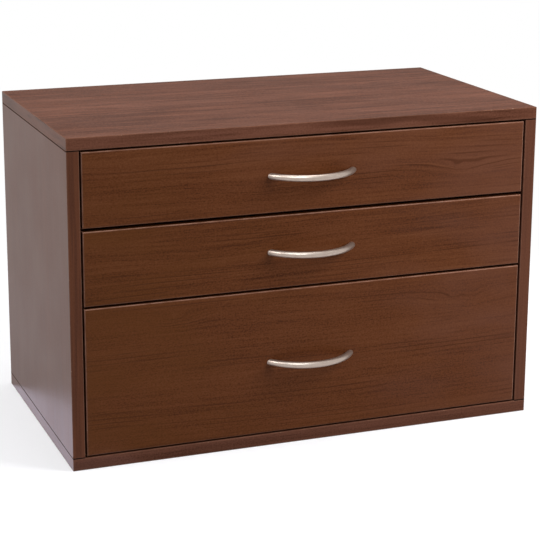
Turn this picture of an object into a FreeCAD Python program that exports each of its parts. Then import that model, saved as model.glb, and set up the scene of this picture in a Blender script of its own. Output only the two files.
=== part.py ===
import FreeCAD, Part
import math
import os
import re
import Sketcher

# Storage cabinet for scrapbook paper: two shallow drawers over a deep one, each on a pair of roller runners.
# The origin is the middle of the base. X runs to the right, the fronts face -Y, and Z is up. Millimetres.

# Driving dimensions
SIZES = {
    # Cabinet
    "cabinet_width": 610,
    "cabinet_depth": 340,
    "cabinet_height": 406,
    "board_thickness": 15,
    "panel_edge_round": 0.8,
    "back_thickness": 3,
    "back_margin": 1.5,
    # Drawer fronts and the slits round them
    "front_thickness": 15,
    "front_recess": 0.3,
    "front_edge_round": 1.5,
    "front_side_slit": 2.5,
    "upper_slit": 2.5,
    "middle_slit": 3.8,
    "lower_slit": 2.7,
    "base_slit": 1.8,
    "shallow_front_height": 91,
    # Drawer boxes
    "drawer_inside_length": 306,
    "box_board": 12,
    "shallow_side_drop": 26,
    "deep_side_drop": 43.2,
    "box_bottom_thickness": 3,
    "groove_depth": 5,
    "groove_height": 8,
    "groove_fit": 0.1,
    "groove_play": 0.4,
    # Roller runners, measured from the cabinet wall and from the underside of the cabinet rail
    "runner_gap": 12.5,
    "runner_length": 300,
    "runner_steel": 1.2,
    "runner_lift": 10,
    "cabinet_rail_setback": 2,
    "drawer_rail_setback": 0.5,
    "track_width": 10.3,
    "track_lip_height": 2,
    "roof_width": 5,
    "roof_cut_length": 24,
    "roof_clearance": 0.5,
    "flange_rise": 0.3,
    "flange_clearance": 0.8,
    "foot_rise": 0.8,
    "foot_width": 10.5,
    "bend_radius": 0.9,
    "roller_diameter": 18,
    "roller_width": 6.2,
    "roller_standoff": 1.4,
    "roller_chamfer": 0.5,
    "roller_clearance": 0.3,
    "roller_setback": 11,
    "axle_diameter": 5,
    "axle_clearance": 0.08,
    "axle_shoulder_diameter": 8,
    "axle_head_diameter": 9,
    "axle_head_height": 1.2,
    "axle_play": 0.1,
    "hub_clearance": 0.4,
    "runner_overlap": 75,
    "stop_clearance": 0.4,
    "stop_height": 4,
    "stop_ramp_length": 6,
    # Screws of the runners
    "rail_screw_diameter": 5,
    "rail_screw_length": 11,
    "rail_screw_head_diameter": 9,
    "rail_screw_head_height": 1,
    "rail_screw_setback": 37,
    "rail_screw_rear_share": 0.87,
    "box_screw_diameter": 3,
    "box_screw_length": 9.5,
    "box_screw_head_diameter": 6,
    "box_screw_head_height": 0.9,
    "box_screw_drop": 3.6,
    "box_screw_setback": 40,
    "box_screw_rear_setback": 40,
    # Cam fittings
    "cam_diameter": 15,
    "cam_thickness": 12.5,
    "box_cam_thickness": 9.5,
    "cam_edge_distance": 24,
    "cam_inset": 50,
    "cam_bolt_thread_diameter": 5,
    "cam_bolt_thread_length": 10,
    "cam_bolt_shank_diameter": 6,
    "cam_bolt_neck_diameter": 4,
    "cam_bolt_neck_length": 3,
    "cam_bolt_head_diameter": 6.4,
    "cam_bolt_head_length": 3,
    # Dowels, bottom screws, box screws and back nails
    "dowel_diameter": 8,
    "dowel_length": 30,
    "dowel_panel_depth": 10,
    "dowel_inset": 82,
    "base_screw_diameter": 6.4,
    "base_screw_length": 47,
    "base_screw_head_diameter": 10,
    "base_screw_head_height": 3,
    "base_screw_sink": 0.5,
    "base_screw_inset": 30,
    "corner_screw_diameter": 3.5,
    "corner_screw_length": 30,
    "corner_screw_head_diameter": 7,
    "corner_screw_head_height": 2,
    "corner_screw_margin": 12,
    "nail_diameter": 1.6,
    "nail_length": 18,
    "nail_head_diameter": 5,
    "nail_head_height": 0.6,
    "nail_inset": 60,
    # Handles
    "bow_radius": 65,
    "bow_rise": 27,
    "bow_bar_diameter": 8,
    "handle_hole_spacing": 101.6,
    "handle_thread_depth": 6,
    "handle_screw_diameter": 4,
    "handle_screw_grip": 5,
    "handle_screw_head_diameter": 8,
    "handle_screw_head_height": 2.4,
    "handle_screw_recess": 3,
    # Fits shared by all fasteners
    "thread_fit": 0.1,
    "bore_room": 0.3,
    "bore_end_room": 0.5,
}

# Sizes worked out from the driving ones
FORMULAS = {
    "half_depth": "cabinet_depth / 2",
    "inside_width": "cabinet_width - 2 * board_thickness",
    "inside_height": "cabinet_height - 2 * board_thickness",
    "panel_depth": "cabinet_depth - back_thickness",
    "wall": "inside_width / 2",
    "front_width": "inside_width - 2 * front_side_slit",
    "deep_front_height": "inside_height - upper_slit - middle_slit - lower_slit - base_slit"
    " - 2 * shallow_front_height",
    "shallow_side_height": "shallow_front_height - shallow_side_drop",
    "deep_side_height": "deep_front_height - deep_side_drop",
    "drawer_travel": "runner_length - runner_overlap",
    "bottom_front_z": "board_thickness + base_slit",
    "middle_front_z": "bottom_front_z + deep_front_height + lower_slit",
    "top_front_z": "middle_front_z + shallow_front_height + middle_slit",
    "front_y": "front_recess - half_depth",
    "front_rear_y": "front_y + front_thickness",
    "box_half": "wall - runner_gap",
    "box_inner_half": "box_half - box_board",
    "side_length": "drawer_inside_length + box_board",
    "box_lift": "runner_lift + foot_rise + runner_steel",
    "bottom_panel_half": "box_inner_half + groove_depth - groove_play",
    "cabinet_rail_y": "front_rear_y + cabinet_rail_setback",
    "drawer_rail_y": "front_rear_y + drawer_rail_setback",
    "roller_radius": "roller_diameter / 2",
    "roller_outside": "runner_steel + roller_standoff",
    "roller_inside": "roller_outside + roller_width",
    "drawer_roller_z": "runner_steel + roller_clearance + roller_radius",
    "roof_z": "drawer_roller_z + roller_radius + roof_clearance",
    "rail_height": "roof_z + runner_steel",
    "flange_z": "roof_z + flange_rise",
    "flange_edge": "roof_width + flange_clearance",
    "cabinet_roller_z": "flange_z - roller_clearance - roller_radius",
    "web_face": "runner_gap - runner_steel",
    "stop_y": "runner_length - runner_steel",
    "drawer_roller_y": "cabinet_rail_y + stop_y - stop_clearance - roller_radius",
    "roller_over_stop": "roller_radius + roller_clearance - stop_height",
    "front_stop_y": "stop_y - stop_clearance - roller_radius - drawer_travel"
    " - sqrt(roller_radius ^ 2 - roller_over_stop ^ 2) - stop_clearance",
    "counterbore_depth": "axle_head_height + 2 * axle_play",
    "rail_screw_z": "rail_height / 2",
    "box_screw_z": "flange_z - box_screw_drop",
    "handle_face": "bow_radius - bow_rise",
    "cam_bolt_reach": "cam_edge_distance + cam_bolt_head_length / 2",
    "groove_width": "box_bottom_thickness + 2 * groove_fit",
    "back_rise": "groove_height + box_bottom_thickness + groove_fit",
    "nail_head_y": "cabinet_depth + nail_head_height",
    "base_screw_tip": "base_screw_sink + base_screw_head_height + base_screw_length",
}

# Each view is an origin plane and the sense of its normal along the axis that it looks down
VIEWS = {"plan": ("XY_Plane", 1), "front": ("XZ_Plane", -1), "side": ("YZ_Plane", 1)}
# Each axis of a turned form is drawn in a view, with the sketch turned by this many degrees
TURNED = {
    "+X": ("front", -90),
    "-X": ("front", 90),
    "+Y": ("plan", 0),
    "-Y": ("plan", 180),
    "+Z": ("front", 0),
}
FULL_TURN = 360
HALF_TURN = 180
TOUCH = 1e-6
# Value of a sketch dimension until its formula is bound to it
START = 1

# Cam places up a drawer's side, as shares of its height
SHALLOW_CAM_SHARES = (0.58,)
DEEP_CAM_SHARES = (0.27, 0.73)

DRAWERS = {
    "top": ("top_front_z", "shallow_front_height", "shallow_side_height", SHALLOW_CAM_SHARES),
    "middle": ("middle_front_z", "shallow_front_height", "shallow_side_height", SHALLOW_CAM_SHARES),
    "bottom": ("bottom_front_z", "deep_front_height", "deep_side_height", DEEP_CAM_SHARES),
}

doc = FreeCAD.newDocument("PaperDrawers")
sheet = doc.addObject("Spreadsheet::Sheet", "Sizes")
for row, (name, size) in enumerate(SIZES.items(), 1):
    sheet.set(f"A{row}", name)
    sheet.set(f"B{row}", str(size))
    sheet.setAlias(f"B{row}", name)
doc.recompute()

parts = []


def sized(formula):
    """The formula with each name replaced by its sheet cell, or by the formula it stands for."""

    def replaced(match):
        word = match.group(0)
        if word in FORMULAS:
            return f"({sized(FORMULAS[word])})"
        return f"Sizes.{word}" if word in SIZES else word

    return re.sub(r"[a-z_]+", replaced, formula)


def bind(item, prop, formula):
    """Binds one property of an object to a formula of named sizes."""
    item.setExpression(prop, sized(formula))


def part_body(label, x="0", y="0", z="0"):
    """A new body that is one sub-part, placed at x, y, z."""
    body = doc.addObject("PartDesign::Body", label)
    body.Label = label
    for axis, formula in zip("xyz", (x, y, z)):
        bind(body, f"Placement.Base.{axis}", formula)
    parts.append(body)
    return body


def origin_item(body, role):
    """The plane or axis with this role in the body's own origin."""
    return next(item for item in body.Origin.OriginFeatures if item.Role == role)


def sketch_in(body, name, view, level="0"):
    """A sketch seen in a view and moved to a level along the view's axis."""
    role, sense = VIEWS[view]
    sketch = body.newObject("Sketcher::SketchObject", name)
    sketch.AttachmentSupport = [(origin_item(body, role), "")]
    sketch.MapMode = "FlatFace"
    bind(sketch, "AttachmentOffset.Base.z", f"{sense} * ({level})")
    return sketch


def pin_point(sketch, geometry, end, x, y):
    """Holds one point of the sketch at formulas of named sizes."""
    for axis, formula in (("X", x), ("Y", y)):
        rule = sketch.addConstraint(Sketcher.Constraint(f"Distance{axis}", -1, 1, geometry, end, START))
        bind(sketch, f"Constraints[{rule}]", formula)


def outline(sketch, corners):
    """A closed outline through the corners, each given as two formulas."""
    first = sketch.GeometryCount
    count = len(corners)
    turns = [2 * math.pi * corner / count for corner in range(count)]
    spots = [FreeCAD.Vector(math.cos(turn), math.sin(turn), 0) for turn in turns]
    for corner in range(count):
        sketch.addGeometry(Part.LineSegment(spots[corner], spots[(corner + 1) % count]), False)
    for corner in range(count):
        following = first + (corner + 1) % count
        sketch.addConstraint(Sketcher.Constraint("Coincident", first + corner, 2, following, 1))
    for corner, (x, y) in enumerate(corners):
        pin_point(sketch, first + corner, 1, x, y)


def rectangle(sketch, x, y, width, height):
    """A rectangle from its lower left corner."""
    right = f"{x} + {width}"
    top = f"{y} + {height}"
    outline(sketch, [(x, y), (right, y), (right, top), (x, top)])


def circles(sketch, spots, diameter):
    """Circles of one diameter round the spots."""
    for x, y in spots:
        shape = Part.Circle(FreeCAD.Vector(), FreeCAD.Vector(0, 0, 1), START)
        ring = sketch.addGeometry(shape, False)
        pin_point(sketch, ring, 3, x, y)
        rule = sketch.addConstraint(Sketcher.Constraint("Diameter", ring, START))
        bind(sketch, f"Constraints[{rule}]", diameter)


def extrusion(kind, body, name, sketch, view, length, along):
    """A pad or pocket of the sketch, along the positive or negative axis of its view."""
    feature = body.newObject(f"PartDesign::{kind}", name)
    feature.Profile = sketch
    with_normal = (along == "+") == (VIEWS[view][1] > 0)
    feature.Reversed = with_normal if kind == "Pocket" else not with_normal
    if length == "through":
        feature.Type = "ThroughAll"
    else:
        bind(feature, "Length", length)
    body.Tip = feature
    doc.recompute()
    return feature


def pad(body, name, sketch, view, length, along="+"):
    """Adds the sketch's outline, drawn out by a length."""
    return extrusion("Pad", body, name, sketch, view, length, along)


def pocket(body, name, sketch, view, length, along="-"):
    """Cuts the sketch's outline, and makes sure that it did cut."""
    before = body.Tip.Shape.Volume
    feature = extrusion("Pocket", body, name, sketch, view, length, along)
    if not feature.Shape.Volume < before:
        raise ValueError(f"{name} of {body.Label} cut nothing")
    return feature


def drill(body, name, view, level, spots, diameter, depth, along="-"):
    """Round holes of one size, from a level of the view."""
    sketch = sketch_in(body, f"{name}_places", view, level)
    circles(sketch, spots, diameter)
    return pocket(body, name, sketch, view, depth, along)


def turned(body, name, axis, place, profile):
    """A turned form: its profile holds radius and distance along the axis from its place."""
    view, turn = TURNED[axis]
    x, y, z = place
    across, up, level = (x, y, z) if view == "plan" else (x, z, y)
    sketch = sketch_in(body, f"{name}_profile", view, level)
    placement = FreeCAD.Placement(FreeCAD.Vector(), FreeCAD.Rotation(FreeCAD.Vector(0, 0, 1), turn))
    sketch.AttachmentOffset = placement
    bind(sketch, "AttachmentOffset.Base.x", across)
    bind(sketch, "AttachmentOffset.Base.y", up)
    outline(sketch, profile)
    feature = body.newObject("PartDesign::Revolution", name)
    feature.Profile = sketch
    feature.ReferenceAxis = (sketch, ["V_Axis"])
    feature.Angle = FULL_TURN
    body.Tip = feature
    doc.recompute()
    return feature


def screw_profile(kind, length):
    """Head and plain shank of a screw or nail, from the head's outer face."""
    head = f"{kind}_head_diameter / 2"
    shank = f"{kind}_diameter / 2"
    rise = f"{kind}_head_height"
    tip = f"{rise} + {length}"
    return [("0", "0"), (head, "0"), (head, rise), (shank, rise), (shank, tip), ("0", tip)]


def both_sides(body):
    """Mirrors the whole body about the cabinet's middle plane."""
    feature = body.newObject("PartDesign::Mirrored", f"{body.Label}_both_sides")
    feature.TransformMode = "Whole shape"
    feature.MirrorPlane = (origin_item(body, "YZ_Plane"), [""])
    body.Tip = feature
    doc.recompute()


def mirrored_part(label, source):
    """The right-hand twin of a left-hand sub-part."""
    twin = doc.addObject("Part::Mirroring", label)
    twin.Label = label
    twin.Source = source
    twin.Normal = FreeCAD.Vector(1, 0, 0)
    parts.append(twin)


def rounded(body, name, radius, *places):
    """Rounds the edges that lie on the named sides of the body's box, such as ("XMin", "ZMax")."""
    base = body.Tip
    shape = base.Shape

    def lies_on(edge, side):
        level = getattr(shape.BoundBox, side)
        return all(abs(getattr(corner.Point, side[0].lower()) - level) < TOUCH for corner in edge.Vertexes)

    chosen = []
    for number, edge in enumerate(shape.Edges, 1):
        if any(all(lies_on(edge, side) for side in place) for place in places):
            chosen.append(f"Edge{number}")
    feature = body.newObject("PartDesign::Fillet", name)
    feature.Base = (base, chosen)
    bind(feature, "Radius", radius)
    body.Tip = feature
    doc.recompute()


def spread(inset, span, count):
    """Formulas of evenly spaced places between two insets."""
    return [f"{inset} + {step} * ({span} - 2 * {inset}) / {count - 1}" for step in range(count)]


# Places that several pieces share
CAM_PLACES = ("cam_inset", "panel_depth - cam_inset")
BASE_SCREW_PLACES = ("base_screw_inset", "panel_depth - base_screw_inset")
DOWEL_PLACES = ("dowel_inset", "panel_depth - dowel_inset")
EDGE_MIDDLES = ("board_thickness / 2", "cabinet_width - board_thickness / 2")
RAIL_SCREW_PLACES = ("rail_screw_setback", "runner_length * rail_screw_rear_share")
BOX_SCREW_PLACES = ("box_screw_setback", "runner_length - box_screw_rear_setback")
WIDE_NAIL_PLACES = spread("nail_inset", "cabinet_width", 4)
TALL_NAIL_PLACES = spread("nail_inset", "inside_height", 3)
NAIL_HOLE = "nail_diameter + 2 * thread_fit"
DOWEL_HOLE = "dowel_diameter + 2 * thread_fit"
CAM_HOLE = "cam_diameter + 2 * thread_fit"
CAM_BOLT_BORE = "cam_bolt_shank_diameter + 2 * bore_room"
CAM_BOLT_HOLE = "cam_bolt_thread_diameter + 2 * thread_fit"
DOWEL_EDGE_DEPTH = "dowel_length - dowel_panel_depth + bore_end_room"
DOWEL_FACE_DEPTH = "dowel_panel_depth + bore_end_room"


def cabinet_panel(label, z):
    """A plain board over the whole width of the cabinet."""
    body = part_body(label, "-cabinet_width / 2", "-half_depth", z)
    sketch = sketch_in(body, f"{label}_outline", "plan")
    rectangle(sketch, "0", "0", "cabinet_width", "panel_depth")
    pad(body, f"{label}_board", sketch, "plan", "board_thickness")
    return body


def nail_holes(body, spots):
    """Holes for the back's nails in the rear edge of a panel."""
    drill(body, f"{body.Label}_nail_holes", "front", "panel_depth", spots, NAIL_HOLE, "nail_length")


def top_panel():
    """Lid of the cabinet, held from below by cam bolts and dowels."""
    body = cabinet_panel("top_panel", "cabinet_height - board_thickness")
    rounded(body, "top_panel_edges", "panel_edge_round", ("YMin",), ("ZMax",))
    bolts = [(x, y) for x in EDGE_MIDDLES for y in CAM_PLACES]
    dowels = [(x, y) for x in EDGE_MIDDLES for y in DOWEL_PLACES]
    bolt_depth = "cam_bolt_thread_length + bore_end_room"
    drill(body, "top_bolt_holes", "plan", "0", bolts, CAM_BOLT_HOLE, bolt_depth, "+")
    drill(body, "top_dowel_holes", "plan", "0", dowels, DOWEL_HOLE, DOWEL_FACE_DEPTH, "+")
    nail_holes(body, [(x, "board_thickness / 2") for x in WIDE_NAIL_PLACES])


def bottom_panel():
    """Floor of the cabinet, screwed to the sides from below."""
    body = cabinet_panel("bottom_panel", "0")
    rounded(body, "bottom_panel_edges", "panel_edge_round", ("YMin",))
    screws = [(x, y) for x in EDGE_MIDDLES for y in BASE_SCREW_PLACES]
    dowels = [(x, y) for x in EDGE_MIDDLES for y in DOWEL_PLACES]
    bore = "base_screw_diameter + 2 * bore_room"
    head = "base_screw_head_diameter + 2 * bore_room"
    sink = "base_screw_sink + base_screw_head_height"
    drill(body, "base_screw_holes", "plan", "0", screws, bore, "through", "+")
    drill(body, "base_screw_sinks", "plan", "0", screws, head, sink, "+")
    drill(body, "base_dowel_holes", "plan", "board_thickness", dowels, DOWEL_HOLE, DOWEL_FACE_DEPTH)
    nail_holes(body, [(x, "board_thickness / 2") for x in WIDE_NAIL_PLACES])


def side_panels():
    """Left side of the cabinet with all its bores, and its mirrored twin."""
    body = part_body("left_side_panel", "-cabinet_width / 2", "-half_depth", "board_thickness")
    sketch = sketch_in(body, "side_panel_outline", "side")
    rectangle(sketch, "0", "0", "panel_depth", "inside_height")
    pad(body, "side_panel_board", sketch, "side", "board_thickness")
    rounded(body, "side_panel_edges", "panel_edge_round", ("YMin", "XMin"), ("YMin", "XMax"))
    cams = [(y, "inside_height - cam_edge_distance") for y in CAM_PLACES]
    bolts = [("board_thickness / 2", y) for y in CAM_PLACES]
    dowels = [("board_thickness / 2", y) for y in DOWEL_PLACES]
    base_screws = [("board_thickness / 2", y) for y in BASE_SCREW_PLACES]
    rail_screws = []
    for front_z, *_ in DRAWERS.values():
        screw_z = f"{front_z} + runner_lift + rail_screw_z - board_thickness"
        rail_screws += [(f"cabinet_rail_y + half_depth + {y}", screw_z) for y in RAIL_SCREW_PLACES]
    cam_depth = "cam_thickness + bore_room"
    base_bore = "base_screw_diameter + 2 * thread_fit"
    base_depth = "base_screw_tip - board_thickness + bore_end_room"
    rail_bore = "rail_screw_diameter + 2 * thread_fit"
    rail_depth = "rail_screw_length + bore_end_room - runner_steel"
    drill(body, "side_cam_holes", "side", "board_thickness", cams, CAM_HOLE, cam_depth)
    drill(body, "side_bolt_bores", "plan", "inside_height", bolts, CAM_BOLT_BORE, "cam_edge_distance")
    drill(body, "side_top_dowel_bores", "plan", "inside_height", dowels, DOWEL_HOLE, DOWEL_EDGE_DEPTH)
    drill(body, "side_base_dowel_bores", "plan", "0", dowels, DOWEL_HOLE, DOWEL_EDGE_DEPTH, "+")
    drill(body, "side_base_screw_bores", "plan", "0", base_screws, base_bore, base_depth, "+")
    drill(body, "side_rail_screw_holes", "side", "board_thickness", rail_screws, rail_bore, rail_depth)
    nail_holes(body, [("board_thickness / 2", z) for z in TALL_NAIL_PLACES])
    mirrored_part("right_side_panel", body)


def back_nail_places():
    """Nail places on the back, from the cabinet's lower left corner."""
    rows = ("board_thickness / 2", "cabinet_height - board_thickness / 2")
    wide = [(x, z) for x in WIDE_NAIL_PLACES for z in rows]
    tall = [(x, f"board_thickness + {z}") for x in EDGE_MIDDLES for z in TALL_NAIL_PLACES]
    return wide + tall


def back_panel():
    """Thin hardboard back, nailed on the rear edges of the panels."""
    body = part_body("back_panel", "-cabinet_width / 2", "half_depth - back_thickness", "0")
    sketch = sketch_in(body, "back_outline", "front")
    width = "cabinet_width - 2 * back_margin"
    height = "cabinet_height - 2 * back_margin"
    rectangle(sketch, "back_margin", "back_margin", width, height)
    pad(body, "back_board", sketch, "front", "back_thickness")
    drill(body, "back_nail_holes", "front", "back_thickness", back_nail_places(), NAIL_HOLE, "through")


def back_panel_nails():
    """Nails with flat heads on the back."""
    body = part_body("back_panel_nails", "-cabinet_width / 2", "-half_depth", "0")
    profile = screw_profile("nail", "nail_length")
    for number, (x, z) in enumerate(back_nail_places(), 1):
        turned(body, f"nail_{number}", "-Y", (x, "nail_head_y", z), profile)


def cam_bolt_profile():
    """Thread, shank, neck and head of a cam bolt, from the end of its thread."""
    thread = "cam_bolt_thread_diameter / 2"
    shank = "cam_bolt_shank_diameter / 2"
    neck = "cam_bolt_neck_diameter / 2"
    head = "cam_bolt_head_diameter / 2"
    face = "cam_bolt_thread_length"
    tip = f"{face} + cam_bolt_reach"
    neck_end = f"{tip} - cam_bolt_head_length"
    neck_start = f"{neck_end} - cam_bolt_neck_length"
    return [
        ("0", "0"),
        (thread, "0"),
        (thread, face),
        (shank, face),
        (shank, neck_start),
        (neck, neck_start),
        (neck, neck_end),
        (head, neck_end),
        (head, tip),
        ("0", tip),
    ]


def cam_profile(thickness):
    """A plain round cam, from its open face."""
    radius = "cam_diameter / 2"
    return [("0", "0"), (radius, "0"), (radius, thickness), ("0", thickness)]


def cabinet_cams():
    """Cams in the side panels that draw the top panel down."""
    body = part_body("cam_locks", "0", "-half_depth", "board_thickness")
    height = "inside_height - cam_edge_distance"
    for number, y in enumerate(CAM_PLACES, 1):
        turned(body, f"cam_{number}", "-X", ("-wall", y, height), cam_profile("cam_thickness"))
    mouths = [("-wall - board_thickness / 2", y) for y in CAM_PLACES]
    mouth = "cam_bolt_head_diameter + 2 * bore_room"
    level = f"{height} - cam_bolt_head_length"
    drill(body, "cam_mouths", "plan", level, mouths, mouth, "through", "+")
    both_sides(body)


def cabinet_cam_bolts():
    """Bolts from the top panel down into the cams."""
    body = part_body("cam_bolts", "0", "-half_depth", "board_thickness + inside_height - cam_bolt_reach")
    length = "cam_bolt_reach + cam_bolt_thread_length"
    profile = [(radius, f"{length} - ({along})") for radius, along in cam_bolt_profile()]
    for number, y in enumerate(CAM_PLACES, 1):
        turned(body, f"cam_bolt_{number}", "+Z", ("-wall - board_thickness / 2", y, "0"), profile)
    both_sides(body)


def wood_dowels():
    """Dowels between the sides and the two wide panels."""
    body = part_body("wood_dowels", "0", "-half_depth", "board_thickness")
    radius = "dowel_diameter / 2"
    profile = [("0", "0"), (radius, "0"), (radius, "dowel_length"), ("0", "dowel_length")]
    levels = ("-dowel_panel_depth", "inside_height + dowel_panel_depth - dowel_length")
    for y in DOWEL_PLACES:
        for level in levels:
            turned(body, "dowel", "+Z", ("-wall - board_thickness / 2", y, level), profile)
    both_sides(body)


def bottom_panel_screws():
    """Screws up through the bottom panel into the sides, heads sunk below it."""
    body = part_body("bottom_panel_screws", "0", "-half_depth", "base_screw_sink")
    profile = screw_profile("base_screw", "base_screw_length")
    for y in BASE_SCREW_PLACES:
        turned(body, "base_screw", "+Z", ("-wall - board_thickness / 2", y, "0"), profile)
    both_sides(body)


def axle_profile(roller_near, roller_far):
    """Riveted axle from the rail's steel: shoulder, journal and the head inside the roller's counterbore."""
    shoulder = "axle_shoulder_diameter / 2"
    journal = "axle_diameter / 2"
    head = "axle_head_diameter / 2"
    step = f"{roller_near} - axle_play"
    head_end = f"{roller_far} - axle_play"
    head_start = f"{head_end} - axle_head_height"
    return [
        ("0", "0"),
        (shoulder, "0"),
        (shoulder, step),
        (journal, step),
        (journal, head_start),
        (head, head_start),
        (head, head_end),
        ("0", head_end),
    ]


def cabinet_rail(drawer, front_z):
    """Rail on the cabinet wall: a channel with a track, a low lip, a roof, two stops and a front axle."""
    label = f"{drawer}_left_cabinet_rail"
    body = part_body(label, "-wall", "cabinet_rail_y", f"{front_z} + runner_lift")
    sketch = sketch_in(body, f"{label}_section", "front")
    lip_top = "runner_steel + track_lip_height"
    lip_face = "track_width - runner_steel"
    section = [
        ("0", "0"),
        ("track_width", "0"),
        ("track_width", lip_top),
        (lip_face, lip_top),
        (lip_face, "runner_steel"),
        ("runner_steel", "runner_steel"),
        ("runner_steel", "roof_z"),
        ("roof_width", "roof_z"),
        ("roof_width", "rail_height"),
        ("0", "rail_height"),
    ]
    outline(sketch, section)
    pad(body, f"{label}_channel", sketch, "front", "runner_length")
    rounded(body, f"{label}_bends", "bend_radius", ("XMin", "ZMin"), ("XMin", "ZMax"), ("XMax", "ZMin"))
    sketch = sketch_in(body, f"{label}_roof_opening", "plan", "rail_height")
    rectangle(sketch, "runner_steel", "0", "roof_width - runner_steel", "roof_cut_length")
    pocket(body, f"{label}_roof_cut", sketch, "plan", "runner_steel")
    sketch = sketch_in(body, f"{label}_end_outline", "front", "stop_y")
    rectangle(sketch, "runner_steel", "runner_steel", f"{lip_face} - runner_steel", "stop_height")
    pad(body, f"{label}_end_stop", sketch, "front", "runner_steel")
    sketch = sketch_in(body, f"{label}_ramp_outline", "side", "runner_steel")
    ramp = [
        ("front_stop_y - stop_ramp_length", "runner_steel"),
        ("front_stop_y", "runner_steel"),
        ("front_stop_y", "runner_steel + stop_height"),
    ]
    outline(sketch, ramp)
    pad(body, f"{label}_ramp_stop", sketch, "side", f"{lip_face} - runner_steel")
    holes = [(y, "rail_screw_z") for y in RAIL_SCREW_PLACES]
    bore = "rail_screw_diameter + 2 * bore_room"
    drill(body, f"{label}_holes", "side", "runner_steel", holes, bore, "runner_steel")
    axle = axle_profile("roller_outside", "roller_inside")
    turned(body, f"{label}_axle", "+X", ("0", "roller_setback", "cabinet_roller_z"), axle)
    mirrored_part(f"{drawer}_right_cabinet_rail", body)


def drawer_rail(drawer, front_z):
    """Rail on the drawer: a foot under the side, a web, a flange over the front roller and a rear axle."""
    label = f"{drawer}_left_drawer_rail"
    body = part_body(label, "-wall", "drawer_rail_y", f"{front_z} + runner_lift")
    sketch = sketch_in(body, f"{label}_section", "front")
    foot_top = "foot_rise + runner_steel"
    foot_edge = "runner_gap + foot_width"
    flange_top = "flange_z + runner_steel"
    section = [
        ("web_face", "foot_rise"),
        (foot_edge, "foot_rise"),
        (foot_edge, foot_top),
        ("runner_gap", foot_top),
        ("runner_gap", flange_top),
        ("flange_edge", flange_top),
        ("flange_edge", "flange_z"),
        ("web_face", "flange_z"),
    ]
    outline(sketch, section)
    pad(body, f"{label}_profile", sketch, "front", "runner_length")
    holes = [(y, "box_screw_z") for y in BOX_SCREW_PLACES]
    bore = "box_screw_diameter + 2 * bore_room"
    drill(body, f"{label}_holes", "side", "runner_gap", holes, bore, "runner_steel")
    axle = axle_profile("runner_gap - roller_inside", "runner_gap - roller_outside")
    place = ("runner_gap", "drawer_roller_y - drawer_rail_y", "drawer_roller_z")
    turned(body, f"{label}_axle", "-X", place, axle)
    mirrored_part(f"{drawer}_right_drawer_rail", body)


def roller_pair(label, y, z, axis, near_face):
    """Left and right nylon rollers with a counterbored end for the axle's head."""
    body = part_body(label, "0", y, z)
    bore = "axle_diameter / 2 + axle_clearance"
    counterbore = "axle_head_diameter / 2 + hub_clearance"
    floor = "roller_width - counterbore_depth"
    slope = "roller_radius - roller_chamfer"
    profile = [
        (bore, "0"),
        (slope, "0"),
        ("roller_radius", "roller_chamfer"),
        ("roller_radius", "roller_width - roller_chamfer"),
        (slope, "roller_width"),
        (counterbore, "roller_width"),
        (counterbore, floor),
        (bore, floor),
    ]
    turned(body, f"{label}_ring", axis, (near_face, "0", "0"), profile)
    both_sides(body)


def cabinet_rail_screws():
    """Screws that hold the cabinet rails to the side panels."""
    body = part_body("cabinet_rail_screws", "0", "cabinet_rail_y", "0")
    profile = screw_profile("rail_screw", "rail_screw_length")
    head_x = "runner_steel + rail_screw_head_height - wall"
    for front_z, *_ in DRAWERS.values():
        for y in RAIL_SCREW_PLACES:
            place = (head_x, y, f"{front_z} + runner_lift + rail_screw_z")
            turned(body, "rail_screw", "-X", place, profile)
    both_sides(body)


def cam_heights(side_height, cam_shares):
    """Heights of the cams above the lower edge of a drawer's side."""
    return [f"{cam_share} * {side_height}" for cam_share in cam_shares]


def corner_heights(side_height):
    """Heights of the two screws that hold the drawer's back at each side."""
    return ("back_rise + corner_screw_margin", f"{side_height} - corner_screw_margin")


def drawer_front(drawer, front_z, front_height, cams):
    """Front with rounded outer edges, a groove for the bottom and holes for bolts and handle."""
    label = f"{drawer}_drawer_front"
    body = part_body(label, "-front_width / 2", "front_y", front_z)
    sketch = sketch_in(body, f"{label}_outline", "front")
    rectangle(sketch, "0", "0", "front_width", front_height)
    pad(body, f"{label}_board", sketch, "front", "front_thickness")
    rounded(body, f"{label}_edges", "front_edge_round", ("YMin",))
    sketch = sketch_in(body, f"{label}_groove_outline", "front", "front_thickness")
    groove_half = "(box_inner_half + groove_depth)"
    groove_z = "box_lift + groove_height - groove_fit"
    rectangle(sketch, f"front_width / 2 - {groove_half}", groove_z, f"2 * {groove_half}", "groove_width")
    pocket(body, f"{label}_groove", sketch, "front", "groove_depth")
    inset = "front_width / 2 - box_half + box_board / 2"
    bolts = [(x, f"box_lift + {z}") for x in (inset, f"front_width - ({inset})") for z in cams]
    depth = "cam_bolt_thread_length + bore_end_room"
    drill(body, f"{label}_bolt_holes", "front", "front_thickness", bolts, CAM_BOLT_HOLE, depth)
    half = "handle_hole_spacing / 2"
    holes = [(f"front_width / 2 {sign} {half}", f"{front_height} / 2") for sign in "-+"]
    bore = "handle_screw_diameter + 2 * thread_fit"
    recess = "handle_screw_head_diameter + 2 * bore_room"
    drill(body, f"{label}_handle_holes", "front", "front_thickness", holes, bore, "through")
    drill(body, f"{label}_head_recesses", "front", "front_thickness", holes, recess, "handle_screw_recess")


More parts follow.
